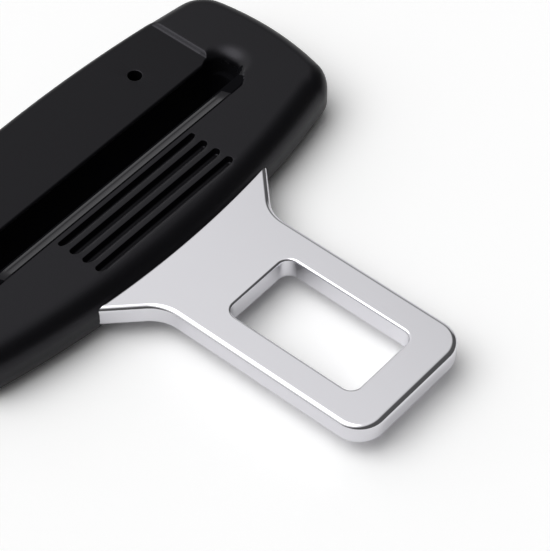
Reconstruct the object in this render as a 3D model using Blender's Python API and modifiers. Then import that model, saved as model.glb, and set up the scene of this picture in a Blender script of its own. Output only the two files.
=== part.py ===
"""Seat belt alarm stopper: a chromed steel tongue plate with a black head moulded round it.

Sizes are in metres. X is the width, Y runs from the tongue's tip to the head's rear edge,
and Z is up from the surface that the head lies on. The origin is under the middle of the
whole object.
"""

import math

import bmesh
import bpy
from mathutils import Matrix, Vector

OBJECT_NAME = "seat_belt_alarm_stopper"

# Whole object
LENGTH = 0.0704
CLEARANCE = 0.0003
FACET_TOLERANCE = 0.00003

# Head, in plan
HEAD_WIDTH = 0.0732
HEAD_LENGTH = 0.0324
FRONT_RADIUS = 0.140
REAR_RADIUS = 0.2095
SIDE_RADIUS = 0.043
WIDEST_FROM_REAR = 0.0143
FRONT_CORNER_RADIUS = 0.0046
REAR_CORNER_RADIUS = 0.0052

# Head, in section: its edge is rounder at the front than at the sides and the rear
HEAD_THICKNESS = 0.0079
FRONT_EDGE_RADIUS = 0.0034
REAR_EDGE_RADIUS = 0.0021
HEAD_EDGE_STEPS = 5

# Tongue plate
PLATE_THICKNESS = 0.0034
PLATE_EDGE_RADIUS = 0.0006
PLATE_EDGE_SEGMENTS = 2
PLATE_COVER = 0.0030
TONGUE_WIDTH = 0.0215
TIP_CORNER_RADIUS = 0.0040
NECK_LENGTH = 0.0332
NECK_RADIUS = 0.0054
FLARE_ANGLE = math.radians(45)

# Latch window in the tongue
WINDOW_WIDTH = 0.0122
WINDOW_LENGTH = 0.0210
WINDOW_FROM_TIP = 0.00555
WINDOW_CORNER_RADIUS = 0.0016

# Webbing slot through the head, and the plastic that lines it
SLOT_WIDTH = 0.00425
SLOT_LENGTH = 0.0530
SLOT_FROM_REAR = 0.01335
SLOT_CORNER_RADIUS = 0.0016
SLOT_LINING = 0.0015
UNDERSIDE_CHAMFER = 0.0005
CHAMFER_CORNER_STEPS = 4

# Front lip of the slot: two sloped facets of the same width
LIP_REACH = 0.0026
LIP_SLOPES = (math.radians(20), math.radians(32))
LIP_LENGTH = 0.0490

# Rear rim of the slot
RIM_REACH = 0.0003

# Scoops that round over the slot's two ends
SCOOP_RADIUS = 0.00375
SCOOP_REACH = 0.0038
SCOOP_DEPTH = 0.0030
SCOOP_LEVELS = 5
SCOOP_SIDES = 28

# Rear panel that the webbing lies on, between the raised ends of the head
PANEL_WIDTH = 0.0516
PANEL_DEPTH = 0.0005

# Grip grooves in front of the slot
GROOVE_COUNT = 4
GROOVE_PITCH = 0.00227
GROOVE_WIDTH = 0.0012
GROOVE_LENGTH = 0.0264
GROOVE_DEPTH = 0.0011
GROOVE_FROM_LIP = 0.0013

# Holes that the mould's locating pins leave
PIN_HOLE_DIAMETER = 0.0020
PIN_HOLE_SPACING = 0.0332
PIN_HOLE_FROM_REAR = 0.0075
PIN_HOLE_LINING = 0.0007

# A cutter runs past the face that it opens by this much
OVERRUN = 0.0010

# Places worked out from the sizes
TIP_Y = -LENGTH / 2
REAR_Y = LENGTH / 2
FRONT_Y = REAR_Y - HEAD_LENGTH
PLATE_LOW_Z = (HEAD_THICKNESS - PLATE_THICKNESS) / 2
PLATE_HIGH_Z = PLATE_LOW_Z + PLATE_THICKNESS
PANEL_Z = HEAD_THICKNESS - PANEL_DEPTH
SLOT_REAR_Y = REAR_Y - SLOT_FROM_REAR
SLOT_FRONT_Y = SLOT_REAR_Y - SLOT_WIDTH
SLOT_MIDDLE = Vector((0, (SLOT_FRONT_Y + SLOT_REAR_Y) / 2))
LIP_Y = SLOT_FRONT_Y - LIP_REACH
PIN_HOLE_Y = REAR_Y - PIN_HOLE_FROM_REAR
LAST_GROOVE_Y = LIP_Y - GROOVE_FROM_LIP

# Turns a profile drawn in plan so that it stands in the YZ plane and runs along X
ALONG_X = Matrix(((0, 0, 1, 0), (1, 0, 0, 0), (0, 1, 0, 0), (0, 0, 0, 1)))


def clear_scene():
    for old in list(bpy.data.objects):
        bpy.data.objects.remove(old, do_unlink=True)


def new_collection(name):
    collection = bpy.data.collections.new(name)
    bpy.context.scene.collection.children.link(collection)
    return collection


def material(name, color, metallic, roughness):
    """A Principled material."""
    made = bpy.data.materials.new(name)
    made.use_nodes = True
    shader = made.node_tree.nodes["Principled BSDF"]
    shader.inputs["Base Color"].default_value = (*color, 1.0)
    shader.inputs["Metallic"].default_value = metallic
    shader.inputs["Roughness"].default_value = roughness
    return made


def arc(centre, radius, start, end, count=None):
    """Points on an arc from one angle to another, as many as the facet tolerance asks for."""
    if count is None:
        step = 2 * math.acos(1 - min(FACET_TOLERANCE / radius, 0.5))
        count = max(2, math.ceil(abs(end - start) / step))
    points = []
    for i in range(count + 1):
        angle = start + (end - start) * i / count
        points.append(centre + radius * Vector((math.cos(angle), math.sin(angle))))
    return points


def angle_from(centre, point):
    offset = point - centre
    return math.atan2(offset.y, offset.x)


def without_repeats(points):
    """The outline without the points that one stretch shares with the next."""
    kept = []
    for point in points:
        if not kept or (point - kept[-1]).length > FACET_TOLERANCE / 10:
            kept.append(point)
    if (kept[0] - kept[-1]).length <= FACET_TOLERANCE / 10:
        kept.pop()
    return kept


def mirrored(half):
    """A closed outline from its right half, which starts and ends on the centre line."""
    left = [Vector((-point.x, point.y)) for point in reversed(half)]
    return without_repeats(half + left)


def circle(centre, radius):
    return without_repeats(arc(centre, radius, 0, 2 * math.pi))


def rounded_rectangle(width, length, middle, radius, corner_steps=None):
    """Outline of a rectangle with round corners, about a point on the plan."""
    radius = min(radius, width / 2 - FACET_TOLERANCE, length / 2 - FACET_TOLERANCE)
    points = []
    for quarter, (side_x, side_y) in enumerate(((1, 1), (-1, 1), (-1, -1), (1, -1))):
        centre = middle + Vector((side_x * (width / 2 - radius), side_y * (length / 2 - radius)))
        start = quarter * math.pi / 2
        points += arc(centre, radius, start, start + math.pi / 2, corner_steps)
    return without_repeats(points)


def corner_centre(first, second, radius, rear):
    """Centre of a circle that touches two arcs from inside, at the head's front or rear."""
    (centre_a, radius_a), (centre_b, radius_b) = first, second
    reach_a = radius_a - radius
    reach_b = radius_b - radius
    between = centre_b - centre_a
    along = (reach_a ** 2 - reach_b ** 2 + between.length_squared) / (2 * between.length)
    across = math.sqrt(reach_a ** 2 - along ** 2)
    direction = between.normalized()
    foot = centre_a + along * direction
    normal = Vector((-direction.y, direction.x))
    options = (foot + across * normal, foot - across * normal)
    right = [point for point in options if point.x > 0]
    return max(right, key=lambda point: point.y if rear else -point.y)


def head_arcs(inset):
    """The front, side and rear arcs of the head's outline, moved inwards by the inset."""
    front = (Vector((0, FRONT_Y + FRONT_RADIUS)), FRONT_RADIUS - inset)
    side = (Vector((HEAD_WIDTH / 2 - SIDE_RADIUS, REAR_Y - WIDEST_FROM_REAR)), SIDE_RADIUS - inset)
    rear = (Vector((0, REAR_Y - REAR_RADIUS)), REAR_RADIUS - inset)
    return front, side, rear


def front_corner_arc(inset):
    """The front corner's centre and radius, and the angles at which its arc starts and ends."""
    front, side, _ = head_arcs(inset)
    radius = max(FRONT_CORNER_RADIUS - inset, 2 * PLATE_EDGE_RADIUS)
    centre = corner_centre(front, side, radius, rear=False)
    return centre, radius, angle_from(front[0], centre), angle_from(side[0], centre)


def head_half(inset, front_start):
    """Right half of the head's outline, from an angle on the front arc to the rear apex."""
    front, side, rear = head_arcs(inset)
    front_corner, front_round, front_end, side_start = front_corner_arc(inset)
    rear_round = max(REAR_CORNER_RADIUS - inset, 2 * PLATE_EDGE_RADIUS)
    rear_corner = corner_centre(side, rear, rear_round, rear=True)
    side_end = angle_from(side[0], rear_corner)
    rear_start = angle_from(rear[0], rear_corner)
    points = arc(*front, front_start, front_end)
    points += arc(front_corner, front_round, front_end, side_start)
    points += arc(*side, side_start, side_end)
    points += arc(rear_corner, rear_round, side_end, rear_start)
    points += arc(*rear, rear_start, math.pi / 2)
    return points


def head_outline():
    return mirrored(head_half(0, -math.pi / 2))


def head_edge_radius(point):
    """The radius of the head's edge, which goes from one value to the other round the corner."""
    centre, _, start, end = front_corner_arc(0)
    angle = angle_from(centre, Vector((abs(point.x), point.y)))
    share = min(max((angle - start) / (end - start), 0), 1)
    return FRONT_EDGE_RADIUS + (REAR_EDGE_RADIUS - FRONT_EDGE_RADIUS) * share


def plate_outline(grow):
    """The plate's outline: the tongue, its neck and flare, and the frame inside the head."""
    half_width = TONGUE_WIDTH / 2 + grow
    tip_y = TIP_Y - grow
    tip_round = TIP_CORNER_RADIUS + grow
    tip_centre = Vector((half_width - tip_round, tip_y + tip_round))
    neck_y = TIP_Y + NECK_LENGTH - NECK_RADIUS * math.tan(FLARE_ANGLE / 2)
    neck_centre = Vector((TONGUE_WIDTH / 2 + NECK_RADIUS, neck_y))
    points = [Vector((0, tip_y))]
    points += arc(tip_centre, tip_round, -math.pi / 2, 0)
    points += arc(neck_centre, NECK_RADIUS - grow, math.pi, math.pi - FLARE_ANGLE)

    flare = Vector((math.sin(FLARE_ANGLE), math.cos(FLARE_ANGLE)))
    front_centre, front_radius = head_arcs(PLATE_COVER - grow)[0]
    offset = points[-1] - front_centre
    along = offset.dot(flare)
    reach = -along - math.sqrt(along ** 2 - offset.length_squared + front_radius ** 2)
    shoulder = points[-1] + reach * flare
    points += head_half(PLATE_COVER - grow, angle_from(front_centre, shoulder))
    return mirrored(points)


def slot_outline(margin, corner_steps=None):
    """The webbing slot's outline, with a margin all round it."""
    width = SLOT_LENGTH + 2 * margin
    length = SLOT_WIDTH + 2 * margin
    return rounded_rectangle(width, length, SLOT_MIDDLE, SLOT_CORNER_RADIUS + margin, corner_steps)


def pin_hole_outlines(margin):
    """The outlines of the locating pins' holes, with a margin round each."""
    radius = PIN_HOLE_DIAMETER / 2 + margin
    sides = (-PIN_HOLE_SPACING / 2, PIN_HOLE_SPACING / 2)
    return [circle(Vector((x, PIN_HOLE_Y)), radius) for x in sides]


def new_solid(name, collection, shape):
    """An object from a bmesh, with its faces turned outwards."""
    bmesh.ops.recalc_face_normals(shape, faces=shape.faces)
    mesh = bpy.data.meshes.new(name)
    shape.to_mesh(mesh)
    shape.free()
    solid = bpy.data.objects.new(name, mesh)
    collection.objects.link(solid)
    return solid


def prism(name, collection, outlines, low, high):
    """A flat outline, with any holes in it, made solid between two heights."""
    curve = bpy.data.curves.new(name, "CURVE")
    curve.dimensions = "2D"
    curve.fill_mode = "BOTH"
    curve.extrude = (high - low) / 2
    for outline in outlines:
        spline = curve.splines.new("POLY")
        spline.points.add(len(outline) - 1)
        spline.use_cyclic_u = True
        for point, place in zip(spline.points, outline):
            point.co = (place.x, place.y, 0, 1)
    drawing = bpy.data.objects.new(name + "_drawing", curve)
    drawing.location.z = (low + high) / 2
    collection.objects.link(drawing)
    bpy.context.view_layer.update()
    evaluated = drawing.evaluated_get(bpy.context.evaluated_depsgraph_get())
    filled = bpy.data.meshes.new_from_object(evaluated)
    shape = bmesh.new()
    shape.from_mesh(filled)
    bpy.data.meshes.remove(filled)
    bmesh.ops.remove_doubles(shape, verts=shape.verts, dist=FACET_TOLERANCE / 10)
    bmesh.ops.dissolve_limit(
        shape, angle_limit=math.radians(0.2), verts=shape.verts, edges=shape.edges
    )
    solid = new_solid(name, collection, shape)
    solid.matrix_world = drawing.matrix_world
    bpy.data.objects.remove(drawing, do_unlink=True)
    return solid


def loft(name, collection, rings):
    """A closed solid through rings of points, which all have the same number of points."""
    shape = bmesh.new()
    levels = [[shape.verts.new(point) for point in ring] for ring in rings]
    for lower, upper in zip(levels, levels[1:]):
        for i in range(len(lower)):
            j = (i + 1) % len(lower)
            shape.faces.new((lower[i], lower[j], upper[j], upper[i]))
    shape.faces.new(levels[0])
    shape.faces.new(levels[-1])
    bmesh.ops.connect_verts_nonplanar(shape, angle_limit=math.radians(0.2), faces=shape.faces)
    return new_solid(name, collection, shape)


def box(name, collection, low, high):
    """A box between two corners."""
    low = Vector(low)
    high = Vector(high)
    place = Matrix.Translation((low + high) / 2) @ Matrix.Diagonal((*(high - low), 1))
    shape = bmesh.new()
    bmesh.ops.create_cube(shape, size=1, matrix=place)
    return new_solid(name, collection, shape)


def cut(solid, cutter):
    cutter.hide_render = True
    cutter.display_type = "WIRE"
    modifier = solid.modifiers.new("cut_" + cutter.name, "BOOLEAN")
    modifier.operation = "DIFFERENCE"
    modifier.solver = "EXACT"
    modifier.object = cutter


def round_edges(solid, radius, segments):
    modifier = solid.modifiers.new("round_edges", "BEVEL")
    modifier.width = radius
    modifier.segments = segments
    modifier.limit_method = "ANGLE"
    modifier.angle_limit = math.radians(50)


def build_plate(parts, cutters):
    """The stamped steel plate, with its latch window and its slot for the webbing."""
    plate = prism("tongue_plate", parts, [plate_outline(0)], PLATE_LOW_Z, PLATE_HIGH_Z)
    window_middle = Vector((0, TIP_Y + WINDOW_FROM_TIP + WINDOW_LENGTH / 2))
    window = rounded_rectangle(WINDOW_WIDTH, WINDOW_LENGTH, window_middle, WINDOW_CORNER_RADIUS)
    openings = [window, slot_outline(SLOT_LINING + CLEARANCE)]
    openings += pin_hole_outlines(PIN_HOLE_LINING + CLEARANCE)
    low = PLATE_LOW_Z - OVERRUN
    high = PLATE_HIGH_Z + OVERRUN
    for i, outline in enumerate(openings):
        cut(plate, prism(f"plate_opening_{i}", cutters, [outline], low, high))
    round_edges(plate, PLATE_EDGE_RADIUS, PLATE_EDGE_SEGMENTS)
    plate.data.materials.append(material("chrome", (0.78, 0.78, 0.80), 1.0, 0.08))
    return plate


def cavity_cutter(cutters):
    """The space that the plate fills inside the head, open at the head's front."""
    outlines = [plate_outline(CLEARANCE), slot_outline(SLOT_LINING)]
    outlines += pin_hole_outlines(PIN_HOLE_LINING)
    low = PLATE_LOW_Z - CLEARANCE
    high = PLATE_HIGH_Z + CLEARANCE
    return prism("plate_cavity", cutters, outlines, low, high)


def mouth_cutter(cutters):
    """The slot's front lip and rear rim, as one section that runs along the slot."""
    facet = LIP_REACH / len(LIP_SLOPES)
    edge = Vector((LIP_Y, HEAD_THICKNESS))
    section = [edge + Vector((0, OVERRUN)), edge]
    for slope in LIP_SLOPES:
        section.append(section[-1] + facet * Vector((1, -math.tan(slope))))
    inside = SLOT_WIDTH / 4
    section[-1] += inside * Vector((1, -math.tan(LIP_SLOPES[-1])))
    rim = Vector((SLOT_REAR_Y + RIM_REACH, PANEL_Z))
    section.append(rim - (RIM_REACH + inside) * Vector((1, 1)))
    section.append(rim)
    section.append(Vector((rim.x, HEAD_THICKNESS + OVERRUN)))
    cutter = prism("slot_mouth", cutters, [section], -LIP_LENGTH / 2, LIP_LENGTH / 2)
    cutter.matrix_world = ALONG_X @ cutter.matrix_world
    return cutter


def scoop_cutter(side, cutters):
    """One end of the slot's mouth: a round dish that rolls down into the slot's end."""
    slot_end = SLOT_LENGTH / 2
    top_centre = Vector((slot_end + SCOOP_REACH - SCOOP_RADIUS, SLOT_MIDDLE.y))
    foot_radius = SLOT_WIDTH / 2 - CLEARANCE
    foot_centre = Vector((slot_end - CLEARANCE - foot_radius, SLOT_MIDDLE.y))
    rings = []
    for level in range(SCOOP_LEVELS, -1, -1):
        turn = level / SCOOP_LEVELS * math.pi / 2
        centre = top_centre.lerp(foot_centre, math.sin(turn))
        radius = SCOOP_RADIUS + (foot_radius - SCOOP_RADIUS) * math.sin(turn)
        height = HEAD_THICKNESS - SCOOP_DEPTH * (1 - math.cos(turn))
        ring = []
        for i in range(SCOOP_SIDES):
            angle = 2 * math.pi * i / SCOOP_SIDES
            x = side * (centre.x + radius * math.cos(angle))
            ring.append(Vector((x, centre.y + radius * math.sin(angle), height)))
        rings.append(ring)
    rings.append([point + Vector((0, 0, OVERRUN)) for point in rings[-1]])
    return loft("slot_scoop", cutters, rings)


def underside_cutter(cutters):
    """A chamfer at 45 degrees round the slot on the head's underside."""
    above = UNDERSIDE_CHAMFER + CLEARANCE
    rings = []
    for height in (-OVERRUN, above):
        outline = slot_outline(UNDERSIDE_CHAMFER - height, CHAMFER_CORNER_STEPS)
        rings.append([Vector((point.x, point.y, height)) for point in outline])
    return loft("slot_underside", cutters, rings)


def groove_cutter(index, cutters):
    """One of the grip grooves, with round ends."""
    middle = Vector((0, LAST_GROOVE_Y - index * GROOVE_PITCH))
    outline = rounded_rectangle(GROOVE_LENGTH, GROOVE_WIDTH, middle, GROOVE_WIDTH / 2)
    low = HEAD_THICKNESS - GROOVE_DEPTH
    return prism(f"grip_groove_{index}", cutters, [outline], low, HEAD_THICKNESS + OVERRUN)


def head_ring(turn, high):
    """The head's outline where its lower or upper edge has turned by an angle from the side."""
    outline = head_outline()
    ring = []
    for i, point in enumerate(outline):
        along = outline[(i + 1) % len(outline)] - outline[i - 1]
        inwards = Vector((-along.y, along.x)).normalized()
        radius = head_edge_radius(point)
        place = point + radius * (1 - math.cos(turn)) * inwards
        depth = radius * (1 - math.sin(turn))
        ring.append(Vector((place.x, place.y, HEAD_THICKNESS - depth if high else depth)))
    return ring


def build_head(parts, cutters):
    """The moulded head, which holds the plate and carries the webbing slot."""
    turns = [math.pi / 2 * step / HEAD_EDGE_STEPS for step in range(HEAD_EDGE_STEPS + 1)]
    rings = [head_ring(turn, False) for turn in reversed(turns)]
    rings += [head_ring(turn, True) for turn in turns]
    head = loft("moulded_head", parts, rings)
    cut(head, cavity_cutter(cutters))
    panel_low = (-PANEL_WIDTH / 2, SLOT_MIDDLE.y, PANEL_Z)
    panel_high = (PANEL_WIDTH / 2, REAR_Y + OVERRUN, HEAD_THICKNESS + OVERRUN)
    cut(head, box("rear_panel", cutters, panel_low, panel_high))
    through = (-OVERRUN, HEAD_THICKNESS + OVERRUN)
    cut(head, prism("slot_throat", cutters, [slot_outline(0)], *through))
    cut(head, mouth_cutter(cutters))
    for side in (-1, 1):
        cut(head, scoop_cutter(side, cutters))
    cut(head, underside_cutter(cutters))
    for index in range(GROOVE_COUNT):
        cut(head, groove_cutter(index, cutters))
    for outline in pin_hole_outlines(0):
        cut(head, prism("pin_hole", cutters, [outline], *through))
    head.data.materials.append(material("black_plastic", (0.020, 0.020, 0.023), 0.0, 0.5))
    return head


def main():
    clear_scene()
    parts = new_collection(OBJECT_NAME)
    cutters = new_collection("cutters")
    build_plate(parts, cutters)
    build_head(parts, cutters)
    bpy.context.view_layer.update()


main()
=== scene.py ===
"""Looks of a seat belt alarm stopper: a chromed tongue plate in a black moulded head.

Lengths are in metres, written as millimetres times MM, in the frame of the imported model:
X is the width, Y runs from the tongue's tip to the head's rear edge, and Z is up.
"""

import math

import bmesh
import bpy
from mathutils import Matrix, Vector


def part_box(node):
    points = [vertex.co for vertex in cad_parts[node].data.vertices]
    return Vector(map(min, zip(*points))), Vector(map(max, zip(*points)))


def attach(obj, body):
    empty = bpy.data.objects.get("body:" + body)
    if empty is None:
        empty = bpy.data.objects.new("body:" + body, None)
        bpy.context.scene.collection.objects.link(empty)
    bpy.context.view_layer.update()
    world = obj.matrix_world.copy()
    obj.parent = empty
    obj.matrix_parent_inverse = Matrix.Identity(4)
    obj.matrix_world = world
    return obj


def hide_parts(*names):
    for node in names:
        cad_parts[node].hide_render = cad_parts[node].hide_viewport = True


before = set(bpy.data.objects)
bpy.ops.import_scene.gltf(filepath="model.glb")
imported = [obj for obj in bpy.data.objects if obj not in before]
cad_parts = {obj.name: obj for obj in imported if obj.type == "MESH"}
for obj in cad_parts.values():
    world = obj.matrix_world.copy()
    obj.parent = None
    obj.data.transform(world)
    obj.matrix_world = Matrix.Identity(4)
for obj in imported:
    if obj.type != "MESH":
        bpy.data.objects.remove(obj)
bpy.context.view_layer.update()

MM = 0.001
TINY = 0.001 * MM

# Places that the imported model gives
HEAD_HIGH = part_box("moulded_head")[1]
PLATE_LOW, PLATE_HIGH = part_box("tongue_plate")
HALF_WIDTH = HEAD_HIGH.x
REAR_Y = HEAD_HIGH.y
HEAD_TOP = HEAD_HIGH.z
TIP_Y = PLATE_LOW.y

# Head, in plan and in section: its edge is rounder at the front than elsewhere
FRONT_Y = REAR_Y - 32.4 * MM
FRONT_RADIUS = 140 * MM
REAR_RADIUS = 209.5 * MM
SIDE_RADIUS = 43 * MM
WIDEST_FROM_REAR = 14.3 * MM
FRONT_CORNER_RADIUS = 4.6 * MM
REAR_CORNER_RADIUS = 5.2 * MM
FRONT_EDGE = 3.4 * MM
REAR_EDGE = 2.1 * MM
PANEL_EDGE = 1.12 * MM
HEAD_EDGE_STEPS = 12

# Rear panel, which lies a little lower than the rest of the head's top
PANEL_HALF = 25.8 * MM
PANEL_DEPTH = 0.5 * MM
STEP_WIDTH = 0.75 * MM
STEP_SAMPLES = 12

# Rows of faces at the foot of the panel's edge that keep the head's grain
GRAINED_ROWS = 3

# Webbing slot through the head
SLOT_HALF = 26.5 * MM
SLOT_REAR_Y = REAR_Y - 13.35 * MM
SLOT_FRONT_Y = SLOT_REAR_Y - 4.25 * MM
SLOT_MIDDLE_Y = (SLOT_FRONT_Y + SLOT_REAR_Y) / 2
SLOT_CORNER = 1.6 * MM
SLOT_WALL_STEPS = 4
SLOT_EDGE = 0.05 * MM
SLOT_EDGE_STEPS = 5
RIM_RADIUS = 0.35 * MM

# Mouth: the area of the head's top that is shaped round the slot
MOUTH_FRONT_Y = SLOT_FRONT_Y - 2.85 * MM
MOUTH_REAR_Y = SLOT_REAR_Y + 1.85 * MM
MOUTH_HALF = 30.5 * MM
MOUTH_CORNER = 4.0 * MM

# Its columns of points fan out beyond the hub, and lie closer together beyond the fine place
HUB_X = 24.3 * MM
FINE_X = 20.5 * MM
FOOT_SEARCH_STEPS = 30

# Round dish at each end of the slot
DISH_X = 26.6 * MM
DISH_RADIUS = 3.7 * MM
DISH_FOOT_X = 25.4 * MM
DISH_FOOT_RADIUS = 2.35 * MM
DISH_DEPTH = 1.6 * MM
DISH_WALL_DEPTH = 1.6 * MM
DISH_WALL_REACH = 0.4 * MM
BLEND = 0.12 * MM

# Front lip of the slot: a fine groove, a hollow facet, a steeper facet and a roll
LIP_REACH = 2.72 * MM
LIP_GROOVE = ((0.0, 0.0), (0.08 * MM, 0.13 * MM), (0.27 * MM, 0.02 * MM))
HOLLOW_SLOPES = (math.radians(26.5), math.radians(16))
HOLLOW_REACH = 1.22 * MM
HOLLOW_STEPS = 8
FACET_SLOPES = (math.radians(23), math.radians(27))
FACET_REACH = 0.56 * MM
FACET_STEPS = 4
ROLL_STEPS = 12

# Towards the slot's end the lip's reach shrinks to a share of it, and its depth fades out
LIP_FADE = (24.0 * MM, 27.5 * MM)
LIP_LEAST = 0.3
LIP_END = (26.0 * MM, 28.0 * MM)

# Where the lip's polish ends, and where the painted shade deep in the slot begins
POLISH_FADE = (20.0 * MM, 22.2 * MM)
POLISH_DEPTH = 0.72 * MM
SHADE_LEAN = 1.69
SHADE_DEPTH = 0.03 * MM
SHADE_END_DEPTH = 0.45 * MM

# Grip grooves: their front walls roll over broadly, and their rear walls end in a fine edge
GROOVE_COUNT = 4
GROOVE_PITCH = 2.27 * MM
GROOVE_HALF = 13.2 * MM
FIRST_GROOVE_Y = SLOT_FRONT_Y - 3.60 * MM
FIRST_GROOVE_TRIM = 0.30 * MM
GROOVE_WALL = 0.50 * MM
GROOVE_DEPTH = 1.1 * MM
GROOVE_FLOOR_FILLET = 0.25 * MM
GROOVE_FLOOR_STEPS = 5
GROOVE_DRAFT = 0.06 * MM
GROOVE_EDGE = 0.10 * MM
BROAD_REACH = 1.20 * MM
BROAD_DEPTH = 0.42 * MM
BROAD_TAPER = 1.6 * MM
BROAD_STEPS = 8

# Exponents of the growth of a groove's height, front wall and rear wall along the roll
HEIGHT_CURVE = 2.2
FRONT_CURVE = 1.5
REAR_CURVE = 3

# How far the solids that cut the grooves pass the head's top, with their curves and in all
OVERRUN = 0.003 * MM
CUTTER_RISE = 1.0 * MM

# Holes that the mould's locating pins leave
PIN_RADIUS = 1.0 * MM
PIN_SIDES = 48
PIN_RIM = 0.12 * MM
PIN_RIM_STEPS = 4
PIN_X = 16.6 * MM
PIN_Y = REAR_Y - 7.5 * MM

# Tongue plate
TONGUE_HALF = 10.75 * MM
TIP_CORNER = 4.0 * MM
NECK_RADIUS = 5.4 * MM
NECK_LENGTH = 33.2 * MM
FLARE_ANGLE = math.radians(45)
PLATE_COVER = 3.0 * MM
PLATE_EDGE = 0.75 * MM
OPENING_EDGE = 0.35 * MM
PLATE_EDGE_STEPS = 8
FLAT_MARGIN = 0.06 * MM
WINDOW_HALF = 6.1 * MM
WINDOW_LENGTH = 21.0 * MM
WINDOW_FROM_TIP = 5.55 * MM
WINDOW_CORNER = 1.6 * MM
SLOT_LINING = 1.8 * MM
PIN_LINING = 1.0 * MM
PIN_LINING_SIDES = 32
CAVITY_GAP = 0.04 * MM

# Spacing of the points along straight, gently curved and tightly curved outlines
COARSE = 0.9 * MM
FINE = 0.25 * MM
FINEST = 0.12 * MM
LEAST_ARC_STEPS = 3

# Shading: faces that meet at more than this angle keep a sharp edge
SHARP_ANGLE = math.radians(38)
NORMAL_WEIGHT = 80

# Camera, fitted to the photograph
CAMERA_PLACE = Vector((-176.58, -161.76, 275.48)) * MM
CAMERA_TARGET = Vector((2.465, -9.596, 5.65)) * MM
CAMERA_LENS = 180.39
CAMERA_SENSOR = 36.0
CAMERA_CLIP = (0.01, 10.0)

# Finishes, and a painted shade for faces deep in the slot, in the order of the head's material
# slots
GRAINED, PANEL, POLISHED, DEEP_SHADE = range(4)
PLASTIC_COLOR = (0.0026, 0.0025, 0.0032)
# Colour of the painted shade deep in the slot, a black plastic without reflection
DEEP_SHADE_COLOR = (0.005, 0.005, 0.006)
PLASTIC_SHEEN = (0.92, 0.90, 1.0)
CHROME_COLOR = (0.90, 0.893, 0.935)

# Fine texture of the materials: noise scales, heights, and how far the roughness varies
GRAIN_SCALE = 4200.0
GRAIN_HEIGHT = 0.03 * MM
GLOSS_SCALE = 260.0
GLOSS_SPREAD = 0.04
WAVE_SCALE = 180.0
WAVE_HEIGHT = 0.03 * MM
WAVE_STRENGTH = 0.12
SMUDGE_SCALE = 420.0
SMUDGE_ROUGHNESS = (0.05, 0.12)


def smooth(t):
    """0 below 0, 1 above 1 and a soft turn between."""
    t = min(max(t, 0.0), 1.0)
    return t * t * (3 - 2 * t)


def fade(value, start, end):
    """0 up to the start, 1 from the end on and a soft turn between."""
    return smooth((value - start) / (end - start))


def quarter(steps):
    """Sine and 1 - cosine of equal angles over a quarter turn."""
    angles = [i / steps * math.pi / 2 for i in range(steps + 1)]
    return [(math.sin(angle), 1 - math.cos(angle)) for angle in angles]


def arc(centre, radius, start, end, spacing=FINE, facing=1):
    """Points on an arc with their normals, which face away from its centre if facing is 1."""
    count = max(LEAST_ARC_STEPS, math.ceil(abs(end - start) * radius / spacing))
    stations = []
    for i in range(count + 1):
        angle = start + (end - start) * i / count
        normal = Vector((math.cos(angle), math.sin(angle)))
        stations.append((centre + radius * normal, facing * normal))
    return stations


def line(start, end, spacing=COARSE):
    """Points on a straight line with their normals, which face to its right."""
    along = end - start
    normal = Vector((along.y, -along.x)).normalized()
    count = max(1, math.ceil(along.length / spacing))
    return [(start.lerp(end, i / count), normal) for i in range(count + 1)]


def chained(*stretches):
    """One list of stations from stretches that share their ends."""
    stations = []
    for stretch in stretches:
        for point, normal in stretch:
            if stations and (point - stations[-1][0]).length < TINY:
                mean = (stations[-1][1] + normal).normalized()
                stations[-1] = (stations[-1][0], mean / mean.dot(normal))
            else:
                stations.append((point, normal))
    return stations


def flipped(vector):
    return Vector((-vector.x, vector.y))


def mirrored(half):
    """A closed outline from its right half, which starts and ends on the centre line."""
    inner = half[1:-1]
    return half + [(flipped(point), flipped(normal)) for point, normal in reversed(inner)]


def inset_ring(stations, inset, height):
    """The outline's points moved inwards by the inset, at a height."""
    ring = []
    for point, normal in stations:
        place = point - inset * normal
        ring.append(Vector((place.x, place.y, height)))
    return ring


def angle_from(centre, point):
    offset = point - centre
    return math.atan2(offset.y, offset.x)


def corner_centre(first, second, radius, rear):
    """Centre of a circle that touches two arcs from inside, at the head's front or rear."""
    (centre_a, radius_a), (centre_b, radius_b) = first, second
    reach_a = radius_a - radius
    reach_b = radius_b - radius
    between = centre_b - centre_a
    along = (reach_a ** 2 - reach_b ** 2 + between.length_squared) / (2 * between.length)
    across = math.sqrt(reach_a ** 2 - along ** 2)
    direction = between.normalized()
    foot = centre_a + along * direction
    normal = Vector((-direction.y, direction.x))
    options = (foot + across * normal, foot - across * normal)
    right = [point for point in options if point.x > 0]
    return max(right, key=lambda point: point.y if rear else -point.y)


def head_arcs(inset):
    """The front, side and rear arcs of the head's outline, moved inwards by the inset."""
    front = (Vector((0, FRONT_Y + FRONT_RADIUS)), FRONT_RADIUS - inset)
    side = (Vector((HALF_WIDTH - SIDE_RADIUS, REAR_Y - WIDEST_FROM_REAR)), SIDE_RADIUS - inset)
    rear = (Vector((0, REAR_Y - REAR_RADIUS)), REAR_RADIUS - inset)
    return front, side, rear


def head_flank(inset, front_start):
    """The head's outline from an angle on its front arc to its rear corner's end."""
    front, side, rear = head_arcs(inset)
    front_round = FRONT_CORNER_RADIUS - inset
    rear_round = REAR_CORNER_RADIUS - inset
    front_corner = corner_centre(front, side, front_round, rear=False)
    rear_corner = corner_centre(side, rear, rear_round, rear=True)
    front_end = angle_from(front[0], front_corner)
    side_start = angle_from(side[0], front_corner)
    side_end = angle_from(side[0], rear_corner)
    rear_start = angle_from(rear[0], rear_corner)
    return chained(
        arc(*front, front_start, front_end, COARSE),
        arc(front_corner, front_round, front_end, side_start),
        arc(*side, side_start, side_end, COARSE),
        arc(rear_corner, rear_round, side_end, rear_start),
    )


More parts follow.
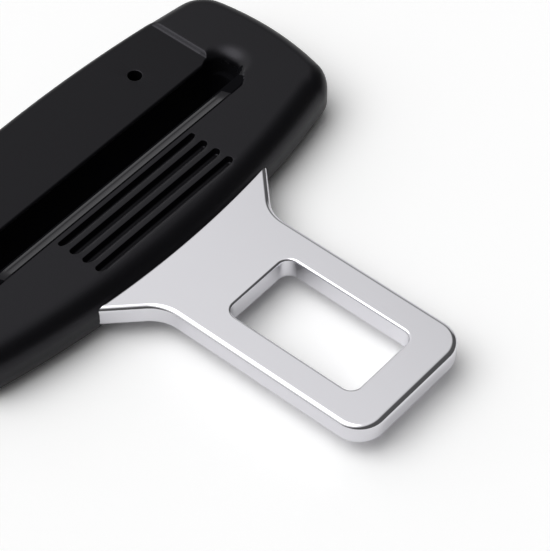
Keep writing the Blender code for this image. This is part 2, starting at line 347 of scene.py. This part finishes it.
def step_places():
    """Places along X across the step at the rear panel's right end, from outside inwards."""
    outer = PANEL_HALF + STEP_WIDTH / 2
    return [outer - STEP_WIDTH * i / STEP_SAMPLES for i in range(STEP_SAMPLES + 1)]


def inwards(start, end, spacing=COARSE):
    """Places along X from one to another, not counting the first."""
    count = math.ceil((start - end) / spacing)
    return [start + (end - start) * i / count for i in range(1, count + 1)]


def rear_places(start):
    """Places along X from the start to the centre line that pass through the step's places."""
    steps = step_places()
    return inwards(start, steps[0]) + steps[1:] + inwards(steps[-1], 0)


def edge_radius(point):
    """The radius of the raised edge, which goes from one value to the other at the corner."""
    front, side, _ = head_arcs(0)
    centre = corner_centre(front, side, FRONT_CORNER_RADIUS, rear=False)
    start = angle_from(front[0], centre)
    end = angle_from(side[0], centre)
    share = min(max((angle_from(centre, point) - start) / (end - start), 0), 1)
    return FRONT_EDGE + (REAR_EDGE - FRONT_EDGE) * share


def panel_share(x):
    """1 on the rear panel, 0 outside it and a soft step between."""
    return smooth((PANEL_HALF - abs(x)) / STEP_WIDTH + 0.5)


def head_outline():
    """The head's widest outline: points, normals, and the upper and lower edges' radii."""
    half = [(point, normal, edge_radius(point), edge_radius(point))
            for point, normal in head_flank(0, -math.pi / 2)]
    corner_x = half[-1][0].x
    centre, radius = head_arcs(0)[2]
    for x in rear_places(corner_x):
        rise = math.sqrt(radius ** 2 - x ** 2)
        normal = Vector((x, rise)) / radius
        turned = smooth((x - PANEL_HALF - STEP_WIDTH) / (corner_x - PANEL_HALF - STEP_WIDTH))
        direction = Vector((0, 1)).lerp(normal, turned)
        upper = REAR_EDGE + (PANEL_EDGE - REAR_EDGE) * panel_share(x)
        place = Vector((x, centre.y + rise))
        half.append((place, direction / direction.dot(normal), upper, REAR_EDGE))
    left = [(flipped(point), flipped(normal), upper, lower)
            for point, normal, upper, lower in reversed(half[1:-1])]
    return half + left


def top_level(x, y):
    """Height of the head's top, which drops by a soft step to the rear panel."""
    if y < SLOT_MIDDLE_Y:
        return HEAD_TOP
    return HEAD_TOP - PANEL_DEPTH * panel_share(x)


def rectangle(half, low_y, high_y, radius):
    """A rectangle with round corners, about the centre line."""
    low = Vector((half - radius, low_y + radius))
    high = Vector((half - radius, high_y - radius))
    right = math.pi / 2
    return mirrored(chained(
        line(Vector((0, low_y)), Vector((half - radius, low_y))),
        arc(low, radius, -right, 0),
        line(Vector((half, low.y)), Vector((half, high.y))),
        arc(high, radius, 0, right),
        line(Vector((half - radius, high_y)), Vector((0, high_y))),
    ))


def circle(centre, radius, count):
    """Evenly spaced points on a circle with their normals."""
    stations = []
    for i in range(count):
        angle = 2 * math.pi * i / count
        normal = Vector((math.cos(angle), math.sin(angle)))
        stations.append((centre + radius * normal, normal))
    return stations


class Shell:
    """A closed mesh made of rings of points, the bands between them and flat fills."""

    def __init__(self):
        self.mesh = bmesh.new()

    def ring(self, points):
        return [self.mesh.verts.new(point) for point in points]

    def band(self, ring, other, finish=0, closed=True):
        """A row of faces between two rings."""
        count = len(ring)
        faces = []
        for i in range(count if closed else count - 1):
            j = (i + 1) % count
            face = self.mesh.faces.new((ring[i], ring[j], other[j], other[i]))
            face.material_index = finish
            faces.append(face)
        return faces

    def edge(self, first, second):
        found = self.mesh.edges.get((first, second))
        return found or self.mesh.edges.new((first, second))

    def loop(self, ring, closed=True):
        """The edges along a ring."""
        count = len(ring)
        last = count if closed else count - 1
        return [self.edge(ring[i], ring[(i + 1) % count]) for i in range(last)]

    def fill(self, edges, finish=0):
        """Flat faces inside the outer edges and outside the inner ones."""
        made = bmesh.ops.triangle_fill(
            self.mesh, use_beauty=True, edges=edges, normal=Vector((0, 0, 1))
        )
        for piece in made["geom"]:
            if isinstance(piece, bmesh.types.BMFace):
                piece.material_index = finish

    def finished(self, name, materials):
        """The object, with its faces turned outwards. An open edge is an error."""
        open_edges = [edge for edge in self.mesh.edges if len(edge.link_faces) != 2]
        if open_edges:
            raise ValueError(f"{name} has {len(open_edges)} open edges")
        bmesh.ops.recalc_face_normals(self.mesh, faces=self.mesh.faces)
        data = bpy.data.meshes.new(name)
        self.mesh.to_mesh(data)
        self.mesh.free()
        for item in materials:
            data.materials.append(item)
        piece = bpy.data.objects.new(name, data)
        bpy.context.scene.collection.objects.link(piece)
        return piece


def apply_modifiers(piece):
    """Leaves the piece with the mesh that its modifiers give."""
    bpy.context.view_layer.update()
    evaluated = piece.evaluated_get(bpy.context.evaluated_depsgraph_get())
    piece.data = bpy.data.meshes.new_from_object(evaluated)
    piece.modifiers.clear()


def shade(piece):
    """Smooth shading that keeps flat faces flat and steep edges sharp."""
    piece.data.shade_smooth()
    piece.data.set_sharp_from_angle(angle=SHARP_ANGLE)
    weighted = piece.modifiers.new("weighted_normals", "WEIGHTED_NORMAL")
    weighted.keep_sharp = True
    weighted.weight = NORMAL_WEIGHT
    apply_modifiers(piece)


def cut_out(piece, cutters):
    """Takes the cutters' volumes out of the piece, and removes the cutters."""
    for cutter in cutters:
        cut = piece.modifiers.new(cutter.name, "BOOLEAN")
        cut.operation = "DIFFERENCE"
        cut.solver = "EXACT"
        cut.object = cutter
    apply_modifiers(piece)
    for cutter in cutters:
        bpy.data.objects.remove(cutter, do_unlink=True)


def lip_profile():
    """The front lip in section: (reach, depth) pairs from the head's top to the slot."""
    points = [Vector(place) for place in LIP_GROOVE]
    for (first, last), reach, steps in (
        (HOLLOW_SLOPES, HOLLOW_REACH, HOLLOW_STEPS), (FACET_SLOPES, FACET_REACH, FACET_STEPS),
    ):
        for i in range(steps):
            slope = first + (last - first) * (i + 0.5) / steps
            points.append(points[-1] + reach / steps * Vector((1, math.tan(slope))))
    slope = FACET_SLOPES[1]
    radius = (LIP_REACH - points[-1].x) / (1 - math.sin(slope))
    centre = points[-1] + radius * Vector((-math.sin(slope), math.cos(slope)))
    for i in range(1, ROLL_STEPS + 1):
        turn = slope + (math.pi / 2 - slope) * i / ROLL_STEPS
        points.append(centre + radius * Vector((math.sin(turn), -math.cos(turn))))
    return points


LIP = lip_profile()


def lip_share(x):
    """Share of the front lip's reach, which shrinks towards the slot's end."""
    return 1 - (1 - LIP_LEAST) * fade(x, *LIP_FADE)


def lip_depth(x, y):
    """How far the front lip lies below the head's top."""
    reach = min(LIP_REACH - (SLOT_FRONT_Y - y) / lip_share(x), LIP_REACH)
    if reach <= 0:
        return 0
    ending = 1 - fade(x, *LIP_END)
    for before, after in zip(LIP, LIP[1:]):
        if reach <= after.x:
            drop = after.y - before.y
            depth = before.y + drop * (reach - before.x) / (after.x - before.x)
            return depth * ending
    return LIP[-1].y * ending


def dish_depth(x, y):
    """How far the round dish at the slot's end lies below the head's top."""
    offset = Vector((x - DISH_X, y - SLOT_MIDDLE_Y))
    if offset.length >= DISH_RADIUS:
        return 0
    shift = DISH_X - DISH_FOOT_X
    shrink = DISH_FOOT_RADIUS - DISH_RADIUS
    a = shift ** 2 - shrink ** 2
    b = offset.x * shift - DISH_RADIUS * shrink
    c = offset.length_squared - DISH_RADIUS ** 2
    level = min((math.sqrt(max(b * b - a * c, 0)) - b) / a, 1)
    inside = DISH_FOOT_RADIUS - (offset + Vector((shift, 0))).length
    wall = DISH_WALL_DEPTH * smooth(inside / DISH_WALL_REACH)
    return DISH_DEPTH * (1 - math.sqrt(1 - level ** 2)) + wall


def slot_gap(x, y):
    """Distance from the slot's outline, and the direction straight away from it."""
    across = x - (SLOT_HALF - SLOT_CORNER)
    along = y - SLOT_MIDDLE_Y
    beyond = abs(along) - (SLOT_REAR_Y - SLOT_MIDDLE_Y - SLOT_CORNER)
    away = Vector((max(across, 0), math.copysign(max(beyond, 0), along)))
    gap = away.length + min(max(across, beyond), 0) - SLOT_CORNER
    if away.length == 0:
        away = Vector((1, 0)) if across > beyond else Vector((0, along))
    return gap, away.normalized()


def mouth_height(x, y):
    """Height of the head's top near the slot, for x of 0 or more."""
    if y < SLOT_MIDDLE_Y:
        depth = lip_depth(x, y)
        rim_share = fade(x, *LIP_END)
    else:
        depth = HEAD_TOP - top_level(x, y)
        rim_share = 1
    dish = dish_depth(x, y)
    blend = max(min(BLEND, max(depth, dish)), TINY)
    overlap = max(blend - abs(depth - dish), 0) / blend
    gap = max(slot_gap(x, y)[0], 0)
    inner = max(1 - gap / RIM_RADIUS, 0)
    rim = RIM_RADIUS * (1 - math.sqrt(1 - inner ** 2))
    return HEAD_TOP - max(depth, dish) - overlap ** 2 * blend / 4 - rim * rim_share


def slot_foot(outer):
    """Where the way from a point on the mouth's outline to the slot's middle enters the slot."""
    hub = Vector((min(outer.x, HUB_X), SLOT_MIDDLE_Y))
    low, high = 0.0, 1.0
    for _ in range(FOOT_SEARCH_STEPS):
        middle = (low + high) / 2
        place = hub.lerp(outer, middle)
        if slot_gap(place.x, place.y)[0] > 0:
            high = middle
        else:
            low = middle
    return hub.lerp(outer, high)


def mouth_half():
    """Right half of the mouth's outline on the head's top, from its front to its rear."""
    start = MOUTH_HALF - MOUTH_CORNER
    low = Vector((start, MOUTH_FRONT_Y + MOUTH_CORNER))
    high = Vector((start, MOUTH_REAR_Y - MOUTH_CORNER))
    right = math.pi / 2
    front = chained(
        line(Vector((0, MOUTH_FRONT_Y)), Vector((FINE_X, MOUTH_FRONT_Y))),
        line(Vector((FINE_X, MOUTH_FRONT_Y)), Vector((start, MOUTH_FRONT_Y)), FINEST),
        arc(low, MOUTH_CORNER, -right, 0, FINEST),
        line(Vector((MOUTH_HALF, low.y)), Vector((MOUTH_HALF, high.y)), FINEST),
        arc(high, MOUTH_CORNER, 0, right, FINEST),
    )
    steps = step_places()
    places = inwards(start, steps[0], FINEST) + steps[1:]
    places += inwards(steps[-1], FINE_X, FINEST) + inwards(FINE_X, 0)
    return [point for point, _ in front] + [Vector((x, MOUTH_REAR_Y)) for x in places]


def mouth_columns():
    """Columns of points from the head's top through the slot to its underside.

    Also returns the row of points at which the slot's wall begins.
    """
    margin = SLOT_FRONT_Y - LIP_REACH - MOUTH_FRONT_Y
    ways = [(margin + point.x) / (margin + LIP_REACH) for point in LIP]
    columns = []
    for outer in mouth_half():
        foot = slot_foot(outer)
        away = slot_gap(foot.x, foot.y)[1]
        share = 1
        if outer.y < SLOT_MIDDLE_Y:
            widened = fade(outer.x, HUB_X, LIP_END[0])
            share = lip_share(outer.x) * (1 - widened) + widened
        places = [outer] + [outer.lerp(foot, 1 - share * (1 - way)) for way in ways]
        column = [Vector((x, y, mouth_height(x, y))) for x, y in places]
        lowest = column[-1].z
        for i in range(1, SLOT_WALL_STEPS + 1):
            height = lowest + (SLOT_EDGE - lowest) * i / SLOT_WALL_STEPS
            column.append(Vector((foot.x, foot.y, height)))
        for turn, rise in quarter(SLOT_EDGE_STEPS)[1:]:
            place = foot + SLOT_EDGE * rise * away
            column.append(Vector((place.x, place.y, SLOT_EDGE * (1 - turn))))
        columns.append(column)
    left = [[Vector((-x, y, z)) for x, y, z in column] for column in reversed(columns[1:-1])]
    return columns + left, len(ways)


def groove_levels():
    """Levels of a groove from its floor up: growth of its front wall, of its rear wall, height."""
    floor = HEAD_TOP - GROOVE_DEPTH
    levels = []
    for turn, rise in quarter(GROOVE_FLOOR_STEPS):
        inset = GROOVE_DRAFT + GROOVE_FLOOR_FILLET * (1 - turn)
        levels.append((-inset, -inset, floor + GROOVE_FLOOR_FILLET * rise))
    for i in range(BROAD_STEPS + 1):
        way = i / BROAD_STEPS
        front = BROAD_REACH * way ** FRONT_CURVE
        rear = GROOVE_EDGE * way ** REAR_CURVE
        height = HEAD_TOP + OVERRUN - BROAD_DEPTH * (1 - way) ** HEIGHT_CURVE
        levels.append((front, rear, height))
    levels.append((BROAD_REACH, GROOVE_EDGE, HEAD_TOP + CUTTER_RISE))
    return levels


def groove_rings(shell, index):
    """One grip groove as a closed solid, which is cut out of the head."""
    low_y = FIRST_GROOVE_Y - index * GROOVE_PITCH - GROOVE_WALL
    high_y = low_y + 2 * GROOVE_WALL - (0 if index else FIRST_GROOVE_TRIM)
    radius = (high_y - low_y) / 2
    middle = Vector((GROOVE_HALF - radius, low_y + radius))
    right = math.pi / 2
    outline = mirrored(chained(
        line(Vector((0, low_y)), Vector((middle.x, low_y)), FINE),
        arc(middle, radius, -right, right, FINEST),
        line(Vector((middle.x, high_y)), Vector((0, high_y)), FINE),
    ))
    rings = []
    for broad, narrow, height in groove_levels():
        ring = []
        for point, normal in outline:
            taper = smooth((GROOVE_HALF - abs(point.x)) / BROAD_TAPER)
            share = max(-normal.y, 0) * taper
            place = point + (narrow + (broad - narrow) * share) * normal
            ring.append(Vector((place.x, place.y, height)))
        rings.append(shell.ring(ring))
    for ring, other in zip(rings, rings[1:]):
        shell.band(ring, other)
    shell.fill(shell.loop(rings[0]))
    shell.fill(shell.loop(rings[-1]))


def pin_rings(shell, side):
    """A pin hole right through the head. Returns its rings at the top and at the underside."""
    centre = Vector((side * PIN_X, PIN_Y))
    level = top_level(centre.x, centre.y)
    outline = circle(centre, PIN_RADIUS + PIN_RIM, PIN_SIDES)
    points = [inset_ring(outline, PIN_RIM * turn, level - PIN_RIM * rise)
              for turn, rise in quarter(PIN_RIM_STEPS)]
    points += [inset_ring(outline, PIN_RIM * turn, PIN_RIM * rise)
               for turn, rise in reversed(quarter(PIN_RIM_STEPS))]
    rings = [shell.ring(ring) for ring in points]
    for ring, other in zip(rings, rings[1:]):
        shell.band(ring, other, GRAINED)
    return rings[0], rings[-1]


def body_rings(shell, outline):
    """The head's outer surface, from its underside ring to its top ring."""
    columns = []
    for point, normal, upper, lower in outline:
        level = top_level(point.x, point.y)
        column = []
        for turn, rise in reversed(quarter(HEAD_EDGE_STEPS)):
            place = point - lower * rise * normal
            column.append(Vector((place.x, place.y, lower * (1 - turn))))
        for turn, rise in quarter(HEAD_EDGE_STEPS):
            place = point - upper * rise * normal
            column.append(Vector((place.x, place.y, level - upper * (1 - turn))))
        columns.append(column)
    rings = [shell.ring(row) for row in zip(*columns)]
    for index, (ring, other) in enumerate(zip(rings, rings[1:])):
        for face in shell.band(ring, other, GRAINED):
            centre = face.calc_center_median()
            behind = abs(centre.x) < PANEL_HALF and centre.y > SLOT_REAR_Y
            if behind and index > HEAD_EDGE_STEPS + GRAINED_ROWS:
                face.material_index = PANEL
    return rings[0], rings[-1]


def stretch(ring, first, last):
    """The part of a closed ring from one place to another, both counted."""
    count = len(ring)
    steps = (last - first) % count
    return [ring[(first + i) % count] for i in range(steps + 1)]


def rear_index(ring, x):
    """Place in the ring of its rear point at x."""
    rear = [i for i, point in enumerate(ring) if point.co.y > SLOT_REAR_Y]
    return min(rear, key=lambda i: abs(ring[i].co.x - x))


def mouth_material(row, foot_row, centre):
    """Finish of a face of the mouth, from its row and its middle, or painted shade where it lies
    deep in the slot.
    """
    ahead = SLOT_MIDDLE_Y - centre.y
    polished = centre.y < SLOT_FRONT_Y and abs(centre.x) < POLISH_FADE[1]
    deepest = DISH_DEPTH
    if polished:
        deepest = POLISH_DEPTH
    elif ahead > 0 and abs(centre.x) < HUB_X + SHADE_LEAN * ahead:
        deepest = SHADE_DEPTH if abs(centre.x) < LIP_END[0] else SHADE_END_DEPTH
    # Faces of the slot's wall, and faces deeper than these depths, get the painted shade
    if row >= foot_row or centre.z < HEAD_TOP - deepest:
        return DEEP_SHADE
    if polished and row > 0:
        return POLISHED
    if centre.y > SLOT_REAR_Y and abs(centre.x) < PANEL_HALF:
        return PANEL
    return GRAINED


def mouth_rings(shell):
    """The mouth and the slot's wall. Returns their rings at the top and at the underside."""
    columns, foot_row = mouth_columns()
    rings = [shell.ring(row) for row in zip(*columns)]
    for row, (ring, other) in enumerate(zip(rings, rings[1:])):
        for face in shell.band(ring, other):
            face.material_index = mouth_material(row, foot_row, face.calc_center_median())
    return rings[0], rings[-1]


def fill_top(shell, top, rim, start, end, finish, holes=()):
    """The head's flat top between its edge and the mouth's rim, from one place to another."""
    outer = stretch(top, rear_index(top, start), rear_index(top, end))
    inner = stretch(rim, rear_index(rim, start), rear_index(rim, end))
    edges = shell.loop(outer, False) + shell.loop(inner, False)
    edges += [shell.edge(outer[0], inner[0]), shell.edge(outer[-1], inner[-1])]
    for ring in holes:
        edges += shell.loop(ring)
    shell.fill(edges, finish)


def build_head(materials):
    """The moulded head, finely rounded, grooves, pin holes and rear panel."""
    shell = Shell()
    under, top = body_rings(shell, head_outline())
    rim, foot = mouth_rings(shell)
    pins = [pin_rings(shell, side) for side in (-1, 1)]

    steps = step_places()
    outer, inner = steps[0], steps[-1]
    for side in (1, -1):
        places = [(rear_index(rim, side * x), rear_index(top, side * x)) for x in steps]
        shell.band([rim[i] for i, _ in places], [top[j] for _, j in places], GRAINED, False)
    fill_top(shell, top, rim, -outer, outer, GRAINED)
    fill_top(shell, top, rim, inner, -inner, PANEL, [ring for ring, _ in pins])
    edges = shell.loop(under) + shell.loop(foot)
    for _, ring in pins:
        edges += shell.loop(ring)
    shell.fill(edges, GRAINED)
    head = shell.finished("head_moulding", materials)

    grooves = Shell()
    for index in range(GROOVE_COUNT):
        groove_rings(grooves, index)
    cut_out(head, [
        plate_solid("plate_cavity", CAVITY_GAP, materials[:1]),
        grooves.finished("grip_grooves", materials[:1]),
    ])
    shade(head)
    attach(head, "root")
    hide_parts("moulded_head")
    return head


def plate_outline(grow):
    """The plate's outline: the tongue, its neck and flare, and the frame inside the head."""
    half = TONGUE_HALF + grow
    tip_y = TIP_Y - grow
    corner = TIP_CORNER + grow
    tip_centre = Vector((half - corner, tip_y + corner))
    neck_y = TIP_Y + NECK_LENGTH - NECK_RADIUS * math.tan(FLARE_ANGLE / 2)
    neck_centre = Vector((TONGUE_HALF + NECK_RADIUS, neck_y))
    neck = arc(neck_centre, NECK_RADIUS - grow, math.pi, math.pi - FLARE_ANGLE, facing=-1)
    flare = Vector((math.sin(FLARE_ANGLE), math.cos(FLARE_ANGLE)))
    front_centre, front_radius = head_arcs(PLATE_COVER - grow)[0]
    offset = neck[-1][0] - front_centre
    along = offset.dot(flare)
    reach = -along - math.sqrt(along ** 2 - offset.length_squared + front_radius ** 2)
    shoulder = neck[-1][0] + reach * flare
    flank = head_flank(PLATE_COVER - grow, angle_from(front_centre, shoulder))
    centre, radius = head_arcs(PLATE_COVER - grow)[2]
    rear = arc(centre, radius, angle_from(centre, flank[-1][0]), math.pi / 2, COARSE)
    return mirrored(chained(
        line(Vector((0, tip_y)), Vector((tip_centre.x, tip_y))),
        arc(tip_centre, corner, -math.pi / 2, 0),
        line(Vector((half, tip_centre.y)), Vector((half, neck_y))),
        neck,
        line(neck[-1][0], shoulder),
        flank,
        rear,
    ))


def plate_openings(grow):
    """The outlines of the plate's openings: the window, the slot and the pin holes."""
    window_low = TIP_Y + WINDOW_FROM_TIP
    window = rectangle(
        WINDOW_HALF - grow, window_low + grow, window_low + WINDOW_LENGTH - grow,
        WINDOW_CORNER - grow,
    )
    margin = SLOT_LINING - grow
    slot = rectangle(
        SLOT_HALF + margin, SLOT_FRONT_Y - margin, SLOT_REAR_Y + margin, SLOT_CORNER + margin
    )
    radius = PIN_RADIUS + PIN_LINING - grow
    pins = [circle(Vector((side * PIN_X, PIN_Y)), radius, PIN_LINING_SIDES) for side in (-1, 1)]
    return [window, slot] + pins


def plate_solid(name, grow, materials):
    """The plate with rounded edges, grown by a margin on all sides."""
    shell = Shell()
    low = PLATE_LOW.z - grow
    high = PLATE_HIGH.z + grow
    low_edges = []
    high_edges = []
    outlines = [(plate_outline(grow), PLATE_EDGE)]
    outlines += [(stations, -OPENING_EDGE) for stations in plate_openings(grow)]
    for stations, radius in outlines:
        size = abs(radius)
        points = [inset_ring(stations, radius * rise, low + size * (1 - turn))
                  for turn, rise in reversed(quarter(PLATE_EDGE_STEPS))]
        points += [inset_ring(stations, radius * rise, high - size * (1 - turn))
                   for turn, rise in quarter(PLATE_EDGE_STEPS)]
        inner = radius + math.copysign(FLAT_MARGIN, radius)
        points.insert(0, inset_ring(stations, inner, low))
        points.append(inset_ring(stations, inner, high))
        rings = [shell.ring(ring) for ring in points]
        for ring, other in zip(rings, rings[1:]):
            shell.band(ring, other)
        low_edges += shell.loop(rings[0])
        high_edges += shell.loop(rings[-1])
    shell.fill(low_edges)
    shell.fill(high_edges)
    return shell.finished(name, materials)


def build_plate(material):
    """The chromed plate."""
    plate = plate_solid("chromed_plate", 0, [material])
    shade(plate)
    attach(plate, "root")
    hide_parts("tongue_plate")
    return plate


def add_node(tree, kind, **settings):
    """A shader node. A setting that names a socket sets or links it, others set the node."""
    node = tree.nodes.new("ShaderNode" + kind)
    for name, value in settings.items():
        if hasattr(node, name) and name not in node.inputs:
            setattr(node, name, value)
            continue
        socket = node.inputs[int(name[1:])] if name[1:].isdigit() else node.inputs[
            name.replace("_", " ")]
        if isinstance(value, bpy.types.NodeSocket):
            tree.links.new(value, socket)
        else:
            socket.default_value = value
    return node


def new_material(name, color, roughness, metallic=0.0):
    """A Principled material, its tree and its shader."""
    made = bpy.data.materials.new(name)
    made.use_nodes = True
    shader = made.node_tree.nodes["Principled BSDF"]
    shader.inputs["Base Color"].default_value = (*color, 1.0)
    shader.inputs["Roughness"].default_value = roughness
    shader.inputs["Metallic"].default_value = metallic
    return made, made.node_tree, shader


def plastic(name, color, roughness, grain, specular, dulled=0.0):
    """Black moulded plastic with a fine grain. It may be duller past the lip's polish. Without
    specular it is a painted shade.
    """
    made, tree, shader = new_material(name, color, roughness)
    shader.inputs["Specular IOR Level"].default_value = specular
    shader.inputs["Specular Tint"].default_value = (*PLASTIC_SHEEN, 1.0)
    place = add_node(tree, "TexCoord").outputs["Object"]
    fine = add_node(tree, "TexNoise", Vector=place, Scale=GRAIN_SCALE, Detail=3.0, Roughness=0.6)
    broad = add_node(
        tree, "TexNoise", Vector=place, Scale=GLOSS_SCALE, Detail=3.0, Roughness=0.55
    )
    vary = add_node(
        tree, "MapRange", Value=broad.outputs["Fac"],
        _3=roughness - GLOSS_SPREAD, _4=roughness + GLOSS_SPREAD,
    )
    finish = vary.outputs["Result"]
    if dulled:
        across = add_node(tree, "SeparateXYZ", Vector=place).outputs["X"]
        width = add_node(tree, "Math", operation="ABSOLUTE", _0=across)
        extra = add_node(
            tree, "MapRange", interpolation_type="SMOOTHSTEP", Value=width.outputs["Value"],
            _1=POLISH_FADE[0], _2=POLISH_FADE[1], _3=0.0, _4=dulled,
        )
        finish = add_node(
            tree, "Math", operation="ADD", _0=finish, _1=extra.outputs["Result"]
        ).outputs["Value"]
    tree.links.new(finish, shader.inputs["Roughness"])
    bump = add_node(
        tree, "Bump", Strength=grain, Distance=GRAIN_HEIGHT, Height=fine.outputs["Fac"]
    )
    tree.links.new(bump.outputs["Normal"], shader.inputs["Normal"])
    return made


def chrome():
    """Bright chrome with faint waves and smudges."""
    made, tree, shader = new_material("chrome", CHROME_COLOR, roughness=0.06, metallic=1.0)
    place = add_node(tree, "TexCoord").outputs["Object"]
    waves = add_node(tree, "TexNoise", Vector=place, Scale=WAVE_SCALE, Detail=2.0, Roughness=0.5)
    bump = add_node(
        tree, "Bump", Strength=WAVE_STRENGTH, Distance=WAVE_HEIGHT, Height=waves.outputs["Fac"]
    )
    smudge = add_node(
        tree, "TexNoise", Vector=place, Scale=SMUDGE_SCALE, Detail=5.0, Roughness=0.65
    )
    low, high = SMUDGE_ROUGHNESS
    vary = add_node(tree, "MapRange", Value=smudge.outputs["Fac"], _3=low, _4=high)
    tree.links.new(vary.outputs["Result"], shader.inputs["Roughness"])
    tree.links.new(bump.outputs["Normal"], shader.inputs["Normal"])
    return made


# Studio: a ceiling that is brightest towards the left and the rear, over a dim room.
# A pale wall is on the right, and a small pale patch is behind on the right.
CEILING_LEAN = Vector((-0.4, 0.6, 1.0))
CEILING_EDGE = (0.52, 0.86)
CEILING_LIGHT = 0.76
WALL_DIRECTION = Vector((0.89, 0.42, 0.17))
WALL_EDGE = (0.90, 0.97)
WALL_LIGHT = 0.5
CROWN_DIRECTION = Vector((-0.36, 0.32, 0.87))
CROWN_EDGE = (0.80, 0.95)
CROWN_LIGHT = 2.0
ROOM_LIGHT = 0.08
STRIP_DIRECTION = Vector((0.503, 0.855, 0.121))
STRIP_EDGE = (0.975, 0.992)
STRIP_LIGHT = 0.90
FLOOR_RADIUS = 0.55
FLOOR_SIDES = 96
FLOOR_WHITE = 0.80
FLOOR_SEEN = 1.14
FLOOR_MIRRORED = 0.83


def build_world():
    """Soft light from the ceiling and its crown, and from the wall and the strip."""
    world = bpy.data.worlds.new("studio")
    bpy.context.scene.world = world
    world.use_nodes = True
    tree = world.node_tree
    direction = add_node(tree, "TexCoord").outputs["Generated"]
    total = None
    for centre, edge, low, high in (
        (CEILING_LEAN, CEILING_EDGE, ROOM_LIGHT, CEILING_LIGHT),
        (CROWN_DIRECTION, CROWN_EDGE, 0.0, CROWN_LIGHT),
        (STRIP_DIRECTION, STRIP_EDGE, 0.0, STRIP_LIGHT),
        (WALL_DIRECTION, WALL_EDGE, 0.0, WALL_LIGHT),
    ):
        place = add_node(tree, "VectorMath", operation="DOT_PRODUCT", _0=direction, _1=centre)
        light = add_node(
            tree, "MapRange", interpolation_type="SMOOTHSTEP", Value=place.outputs["Value"],
            _1=edge[0], _2=edge[1], _3=low, _4=high,
        ).outputs["Result"]
        if total:
            light = add_node(tree, "Math", operation="ADD", _0=total, _1=light).outputs["Value"]
        total = light
    background = tree.nodes["Background"]
    background.inputs["Color"].default_value = (1.0, 1.0, 1.0, 1.0)
    tree.links.new(total, background.inputs["Strength"])


def build_floor():
    """A white table top. Where it is seen directly or mirrored its colour is whiter."""
    bpy.ops.mesh.primitive_circle_add(
        vertices=FLOOR_SIDES, radius=FLOOR_RADIUS, fill_type="NGON"
    )
    floor = bpy.context.active_object
    floor.name = "floor"
    made = bpy.data.materials.new("floor")
    made.use_nodes = True
    tree = made.node_tree
    tree.nodes.clear()
    path = add_node(tree, "LightPath")
    white = FLOOR_WHITE
    for ray, seen in (("Is Camera Ray", FLOOR_SEEN), ("Is Glossy Ray", FLOOR_MIRRORED)):
        white = add_node(
            tree, "Math", operation="MULTIPLY_ADD", _0=path.outputs[ray],
            _1=seen - FLOOR_WHITE, _2=white,
        ).outputs["Value"]
    diffuse = add_node(tree, "BsdfDiffuse", Color=white)
    add_node(tree, "OutputMaterial", Surface=diffuse.outputs["BSDF"])
    floor.data.materials.append(made)


def build_camera():
    """The camera of the photograph."""
    data = bpy.data.cameras.new("camera")
    data.lens = CAMERA_LENS
    data.sensor_width = CAMERA_SENSOR
    data.clip_start, data.clip_end = CAMERA_CLIP
    camera = bpy.data.objects.new("camera", data)
    camera.location = CAMERA_PLACE
    camera.rotation_euler = (CAMERA_TARGET - CAMERA_PLACE).to_track_quat("-Z", "Y").to_euler()
    bpy.context.scene.collection.objects.link(camera)
    bpy.context.scene.camera = camera


bpy.context.scene.view_settings.view_transform = "Standard"
build_head([
    plastic("grained_plastic", PLASTIC_COLOR, roughness=0.34, grain=0.5, specular=0.35),
    plastic("panel_plastic", PLASTIC_COLOR, roughness=0.30, grain=0.3, specular=0.25),
    plastic(
        "polished_plastic", PLASTIC_COLOR, roughness=0.14, grain=0.05, specular=0.34, dulled=0.6
    ),
    # Painted shade: black plastic without reflection on faces deep in the slot, its dish and its
    # lip
    plastic("painted_shade_plastic", DEEP_SHADE_COLOR, roughness=0.60, grain=0.2, specular=0.0),
])
build_plate(chrome())
build_world()
build_floor()
build_camera()
